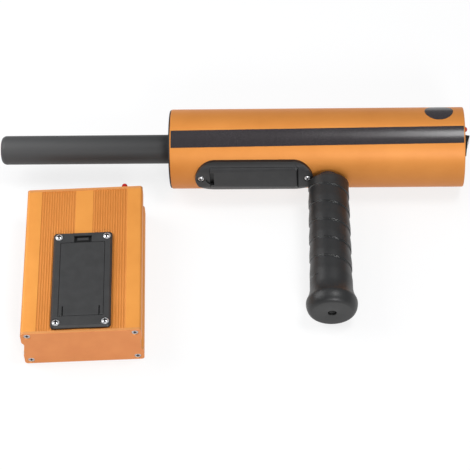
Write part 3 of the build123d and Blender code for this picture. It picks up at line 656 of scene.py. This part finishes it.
def wound_barrel():
    """Points of the barrel and how far each is rubbed smooth, on a ribbon one pitch wide that winds up it
    from lip to lip. A point u turns along and v past the lip stands at an angle of u turns, at a distance of
    top - pitch * u + v, held between the barrel's ends. A notch sinks in behind the lip on a short S-curve
    and runs out evenly, and it fades at both ends of the spiral."""
    turns = np.arange(spiral_turns * grip_steps + 1) / grip_steps
    wall_rows = np.concatenate((np.linspace(0, notch_wall, 8), np.linspace(*polish_past_lip, 3)))
    open_rows = np.linspace(*notch_open, 16)
    past_lip = np.concatenate((wall_rows, open_rows, spiral_pitch - np.array(lip_rows)))[:, None]
    before_lip = spiral_pitch - past_lip
    down = np.clip(spiral_top - spiral_pitch * turns + past_lip, barrel_start, flare_start)
    notch = smooth(past_lip, 0, notch_wall) * (1 - np.clip((past_lip - notch_wall) / notch_run, 0, 1))
    first, last = spiral_span
    fade = smooth(down, first, first + spiral_fade) * (1 - smooth(down, last - spiral_fade, last))
    taper = np.interp(down, (barrel_start, flare_start), (barrel_radius, foot_radius))
    radius = taper - spiral_depth * notch * fade
    angle = 2 * np.pi * turns
    on_lip = np.maximum(1 - smooth(past_lip, *polish_past_lip), 1 - smooth(before_lip, *polish_before_lip))
    in_spiral = (down > first) & (down < last)
    points = np.dstack((radius * np.cos(angle), radius * np.sin(angle), down))
    grip_turn = np.array((grip_side, np.cross(grip_axis, grip_side), grip_axis))
    return handle_root + points @ grip_turn, on_lip * in_spiral


def rubber_finish():
    """Moulded rubber: dull black with a faint bloom, a fine matt texture and a little sheen. The lips of the
    spiral are rubbed smooth by the hand."""
    finish, tree, shader = new_finish("grip_rubber", roughness=0.42)
    two_tone(tree, shader, cells(tree, per_metre=90), srgb(33, 33, 33), srgb(40, 40, 40))
    uneven_gloss(tree, shader, cells(tree, per_metre=220), low=0.37, high=0.47)
    rubbed = tree.nodes.new("ShaderNodeAttribute")
    rubbed.attribute_name = "polish"
    smoother = tree.nodes.new("ShaderNodeMath")
    smoother.operation = "MULTIPLY_ADD"
    smoother.inputs[1].default_value = -lip_polish
    tree.links.new(rubbed.outputs["Fac"], smoother.inputs[0])
    tree.links.new(shader.inputs["Roughness"].links[0].from_socket, smoother.inputs[2])
    tree.links.new(smoother.outputs["Value"], shader.inputs["Roughness"])
    relief(tree, shader, cells(tree, per_metre=2400, detail=3.0), depth=0.00001, strength=0.4)
    return finish


barrel, barrel_polish = wound_barrel()
mouth, foot = [closed_ring(turned(rows, handle_root, grip_axis, grip_side, grip_steps))
               for rows in grip_ends()]
grip_polish = np.concatenate((np.zeros(mouth[..., 0].size), barrel_polish.ravel(),
                              np.zeros(foot[..., 0].size)))
rubber_grip = grid_piece("rubber_grip", [mouth, barrel, foot], polish=grip_polish, sharp=60)
settle(rubber_grip, rubber_finish(), "grip_rubber", "handle", "grip")

# Transmitter case: two identical aluminium extrusions, one turned over on the other and meeting at
# half height. The sides are waisted, and two bands of flutes run along the top and the bottom.

case_across = np.array(joints["battery_door_hinge"]["axis"])
case_deep = np.cross(upright, case_across)
case_low, case_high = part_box("case_bottom")
case_foot = np.array(((case_low.x + case_high.x) / 2, (case_low.y + case_high.y) / 2, 0.0))
case_half = 0.0485
case_height = 0.040
case_depth = 0.0725
case_corner = 0.0025
case_edge_round = 0.0004
waist_depth = 0.0017
waist_height = 0.014
seam_inset = 0.0003
seam_rise = 0.0002
flute_band = (0.0068, 0.036)
flute_count = 14
flute_depth = 0.00043
flute_shape = np.array((0, 0.5, 0.95, 1, 0.95, 0.5))
holder_middle = -0.0232
holder_hole = (0.0215, 0.043)


def case_outline():
    """(across, up) points of one half from the left seam over the top to the right seam. Each flute is a
    shallow rounded trough, repeated along both bands."""
    middle = case_height / 2
    lobe = middle + waist_height / 2
    waist = case_half - waist_depth
    side = rounded([(waist - seam_inset, middle), (waist, middle + seam_rise),
                    (waist, lobe - waist_depth / 2), (case_half, lobe + waist_depth / 2),
                    (case_half, case_height - case_corner)], case_edge_round)
    bend_centre = (case_half - case_corner, case_height - case_corner)
    bend = arc(bend_centre, (case_corner, case_corner), 0, np.pi / 2, steps=7)
    pitch = (flute_band[1] - flute_band[0]) / flute_count
    flute_edge = flute_band[1] - pitch * np.arange(flute_count)[:, None]
    flute_across = (flute_edge - pitch * np.arange(len(flute_shape)) / len(flute_shape)).ravel()
    flute_up = np.tile(case_height - flute_depth * flute_shape, flute_count)
    right = np.concatenate((side[:-1], bend, np.column_stack((flute_across, flute_up))))
    return np.concatenate((right * (-1, 1), right[::-1]))


def case_point(across, deep, up):
    """The point that far across, along and up from the middle of the case's foot."""
    across, deep, up = [np.asarray(distance)[..., None] for distance in (across, deep, up)]
    return case_foot + across * case_across + deep * case_deep + up * upright


outline = case_outline()
case_run = np.array((-case_depth, holder_middle - holder_hole[1], holder_middle + holder_hole[1], case_depth))
half_grid = np.broadcast_to(outline, (len(case_run), *outline.shape))
half_grids = {"top": half_grid, "bottom": half_grid * (-1, -1) + (0, case_height)}
cell_across = abs(outline[:-1, 0] + outline[1:, 0]) / 2
between_holder_ends = np.arange(len(case_run) - 1) == 1
in_hole = between_holder_ends[:, None] & (cell_across < holder_hole[0])
# Painted shade: the cells of the flute bands take a darker copy of the case's finish, for the shade in their
# grooves.
flute_shade_cells = np.tile((cell_across > flute_band[0]) & (cell_across < flute_band[1]), (len(case_run) - 1, 1))
case_turn = np.arctan2(case_across[1], case_across[0])
case_finish = anodised("case_orange", (1, 60, 1), srgb(235, 156, 71), srgb(242, 164, 77), case_turn)
flute_shade_finish = anodised("flute_painted_shade", (1, 60, 1), srgb(214, 136, 60), srgb(221, 143, 66), case_turn)
for half, grid in half_grids.items():
    half_points = case_point(grid[..., 0], case_run[:, None], grid[..., 1])
    half_keep = ~in_hole if half == "top" else None
    skin = grid_piece(f"case_{half}_skin", [half_points], keep=half_keep, second=flute_shade_cells, sharp=24)
    settle(skin, case_finish, "anodised_orange", "transmitter", f"case_{half}")
    skin.data.materials.append(flute_shade_finish)

# End plates: blanked from aluminium sheet and anodised like the case, each held by four countersunk
# screws driven into the channels at the case's corners.

plate_face = 0.075
plate_edge = 0.0003
plate_rim_fade = (0.0004, 0.0001)
plate_rim_tint = (0.84, 0.98, 0.98)
plate_screw_across = 0.0432
plate_screw_up = (0.004, 0.036)
plate_screw_sunk = 0.0006
plate_screw_skirt = 0.0003


def sheet_finish(name, out):
    """Anodised sheet: the same dye, painted brighter and redder on the face than on the extrusions as painted
    light and shade for the face that looks out, and tinted back towards the extrusions' yellow on the blanked
    rim, which lies below that face."""
    finish, tree, shader = new_finish(name, roughness=0.45, metallic=0.4)
    two_tone(tree, shader, cells(tree, per_metre=60), srgb(243, 152, 86), srgb(250, 161, 93))
    face = out @ case_foot + plate_face
    # The rim is tinted back towards the extrusions' yellow, taking the face's painted light and shade off it.
    tint_below(tree, shader, out, face - plate_rim_fade[0], face - plate_rim_fade[1], plate_rim_tint)
    grain = cells(tree, per_metre=5000, stretch=(30, 1, 1), detail=2.0)
    uneven_gloss(tree, shader, grain, low=0.4, high=0.54)
    relief(tree, shader, grain, depth=0.00001, strength=0.3)
    return finish


dress(sheet_finish("near_plate_orange", -case_deep), "near_plate")
dress(sheet_finish("far_plate_orange", case_deep), "far_plate")
soften(plate_edge, "near_plate", "far_plate")
plate_heads = []
for out in (-case_deep, case_deep):
    for across in (-plate_screw_across, plate_screw_across):
        for up in plate_screw_up:
            screw_seat = case_point(across, 0, up) + (plate_face - plate_screw_sunk - plate_screw_skirt) * out
            plate_heads.append(cross_head(screw_seat, out, upright, radius=0.0025, skirt=plate_screw_skirt,
                                          crown=0.0001))
plate_screw_finish = plated_finish("countersunk_steel", tone=215)
screw_heads("plate_screw_heads", plate_heads, plate_screw_finish, "transmitter", "plate_screws")

# Battery holder and door: a bevelled moulded frame let into the case's top and held by four screws.
# Its door turns on stubs at the ends of two spring arms, and a tongue latches it at the far end.

holder_land = 0.042
holder_shade = (0.0414, 0.0418)
holder_edge = 0.00035
holder_screw_spacing = (0.0395, 0.087)
# Painted shade: holder and door are painted darker below the land, in the gaps round the door and on the
# frame's foot.
holder_finish = black_plastic("holder_black", srgb(48, 48, 48), srgb(56, 56, 56), roughness=0.42,
                              grain=0.00002, hollow_shade=(upright, *holder_shade))
dress(holder_finish, "battery_holder", "battery_door")
soften(holder_edge, "battery_holder", "battery_door")
holder_heads = []
for side in (-1, 1):
    for end in (-1, 1):
        screw_seat = case_point(side * holder_screw_spacing[0] / 2,
                                holder_middle + end * holder_screw_spacing[1] / 2, holder_land)
        holder_heads.append(cross_head(screw_seat, upright, case_across, radius=0.0031, skirt=0.0008,
                                       crown=0.0014))
screw_heads("holder_screw_heads", holder_heads, steel_finish, "transmitter", "holder_screws")

# Far panel fittings: a rocker switch like the receiver's, a red light in a snap-in bezel, and two
# insulated 4 mm sockets for the leads of the ground probes.

panel_light_place = (0.033, 0.0343)
panel_light_stem = 0.0048
socket_edge = 0.0003


def socket_finish(name, dark, light):
    """Glossy moulded nylon with a slight waviness."""
    finish, tree, shader = new_finish(name, roughness=0.22)
    two_tone(tree, shader, cells(tree, per_metre=200), dark, light)
    uneven_gloss(tree, shader, cells(tree, per_metre=400), low=0.16, high=0.3)
    return finish


dress(switch_finish, "panel_switch", "panel_led_bezel")
dress(rocker_finish, "panel_rocker")
soften(switch_edge, "panel_switch", "panel_rocker", "panel_led_bezel")
panel_light_seat = case_point(panel_light_place[0], plate_face, panel_light_place[1])
panel_light_points = turned(light_profile(panel_light_stem), panel_light_seat, case_deep, case_across,
                            light_segments)
panel_light = grid_piece("panel_light", [panel_light_points], around=True)
settle(panel_light, light_finish, "led_red", "transmitter", "panel_led")
dress(socket_finish("socket_red", srgb(150, 22, 20), srgb(170, 30, 26)), "probe_socket_red")
dress(socket_finish("socket_black", srgb(18, 18, 19), srgb(26, 26, 27)), "probe_socket_black")
soften(socket_edge, "probe_socket_red", "probe_socket_black")

# Inside: the ferrite core and its wound bobbin in the rod, and a circuit board with its components in
# each unit. None of these show while the set is closed.


def inner_finish(name, dark, light, roughness, metallic=0.0):
    """A plain two-tone finish, for the pieces inside."""
    finish, tree, shader = new_finish(name, roughness, metallic)
    two_tone(tree, shader, cells(tree, per_metre=400), dark, light)
    return finish


ferrite_finish = inner_finish("ferrite_grey", srgb(50, 50, 52), srgb(66, 66, 68), roughness=0.6)
copper_finish = inner_finish("copper_wire", srgb(150, 84, 48), srgb(186, 108, 62), roughness=0.35,
                             metallic=0.9)
board_finish = inner_finish("board_mask", srgb(20, 92, 54), srgb(30, 110, 66), roughness=0.35)
dress(ferrite_finish, "ferrite_core")
dress(copper_finish, "coil_winding")
dress(board_finish, "receiver_board", "transmitter_board")
dress(cap_finish, "coil_bobbin", "receiver_components", "transmitter_components")

# Table, light and camera: a plain white table, a soft lamp right of the camera with a small one left
# of it, one high over the right end, one close on the left, and a cool fill from all round. The camera
# stands where the photograph was taken from.

table_half = 4.0
table_top = -0.0001
table_glow = 0.78
camera_distance = 1.64928
camera_pitch = radians(51.2)
camera_heading = radians(3.79)
camera_roll = radians(-3.30)
camera_lens = 148.43
camera_aim = np.array((0.00035, 0.01524, 0.0))


def seen_directly(tree):
    """1 for a ray from the camera or off a glossy or clear surface, and 0 for a ray of light."""
    path = tree.nodes.new("ShaderNodeLightPath")
    total = path.outputs["Is Camera Ray"]
    for name in ("Is Glossy Ray", "Is Transmission Ray"):
        either = tree.nodes.new("ShaderNodeMath")
        either.operation = "MAXIMUM"
        tree.links.new(total, either.inputs[0])
        tree.links.new(path.outputs[name], either.inputs[1])
        total = either.outputs[0]
    return total


def table_finish():
    """Matt white table top. It takes the light as a mid grey, which keeps the set's shadow soft, and glows up
    to white where it is looked at."""
    finish, tree, shader = new_finish("table_white", roughness=0.9)
    two_tone(tree, shader, cells(tree, per_metre=3), srgb(124, 124, 124), srgb(128, 128, 128))
    glow = tree.nodes.new("ShaderNodeMath")
    glow.operation = "MULTIPLY"
    glow.inputs[1].default_value = table_glow
    tree.links.new(seen_directly(tree), glow.inputs[0])
    tree.links.new(glow.outputs[0], shader.inputs["Emission Strength"])
    shader.inputs["Emission Color"].default_value = (1, 1, 1, 1)
    return finish


def stand(name, data, right, up, back, position):
    """Stands a lamp or camera at a position, with its own axes along right, up and back."""
    placing = np.identity(4)
    placing[:3] = np.column_stack((right, up, back, position))
    stood = bpy.data.objects.new(name, data)
    stood.matrix_world = Matrix(placing.tolist())
    bpy.context.scene.collection.objects.link(stood)
    return stood


def lamp(name, azimuth, elevation, distance, size, power):
    """A square soft lamp that looks at the middle of the set from a direction given in degrees."""
    light = bpy.data.lights.new(name, "AREA")
    light.size = size
    light.energy = power
    level = np.array((np.sin(radians(azimuth)), -np.cos(radians(azimuth)), 0))
    back = np.cos(radians(elevation)) * level + np.sin(radians(elevation)) * upright
    right = np.cross(upright, level)
    stand(name, light, right, np.cross(back, right), back, distance * back)


table_line = np.linspace(-table_half, table_half, 3)
table_x, table_y = np.meshgrid(table_line, table_line)
table = grid_piece("table", [np.dstack((table_x, table_y, np.full_like(table_x, table_top)))])
table.data.materials.append(table_finish())

world = bpy.data.worlds.new("soft_room")
world.use_nodes = True
world.node_tree.nodes["Background"].inputs["Color"].default_value = (0.95, 0.98, 1.04, 1)
world.node_tree.nodes["Background"].inputs["Strength"].default_value = 0.34
bpy.context.scene.world = world

lamp("left_lamp", azimuth=-100, elevation=41, distance=0.8, size=0.5, power=2.9)
lamp("right_lamp", azimuth=91, elevation=73, distance=1.6, size=0.45, power=8.5)
lamp("front_right_lamp", azimuth=18, elevation=31, distance=1.7, size=0.4, power=9.6)
lamp("front_left_lamp", azimuth=-11, elevation=31, distance=1.7, size=0.14, power=1.2)

camera = bpy.data.cameras.new("photo_camera")
camera.lens = camera_lens
camera.sensor_width = 36
level_right = np.array((np.cos(camera_heading), np.sin(camera_heading), 0))
level_on = np.array((-np.sin(camera_heading), np.cos(camera_heading), 0))
look = np.cos(camera_pitch) * level_on - np.sin(camera_pitch) * upright
level_up = np.cross(level_right, look)
camera_right = np.cos(camera_roll) * level_right + np.sin(camera_roll) * level_up
camera_up = np.cos(camera_roll) * level_up - np.sin(camera_roll) * level_right
bpy.context.scene.camera = stand("photo_camera", camera, camera_right, camera_up, -look,
                                 camera_aim - camera_distance * look)
bpy.context.scene.view_settings.view_transform = "Standard"
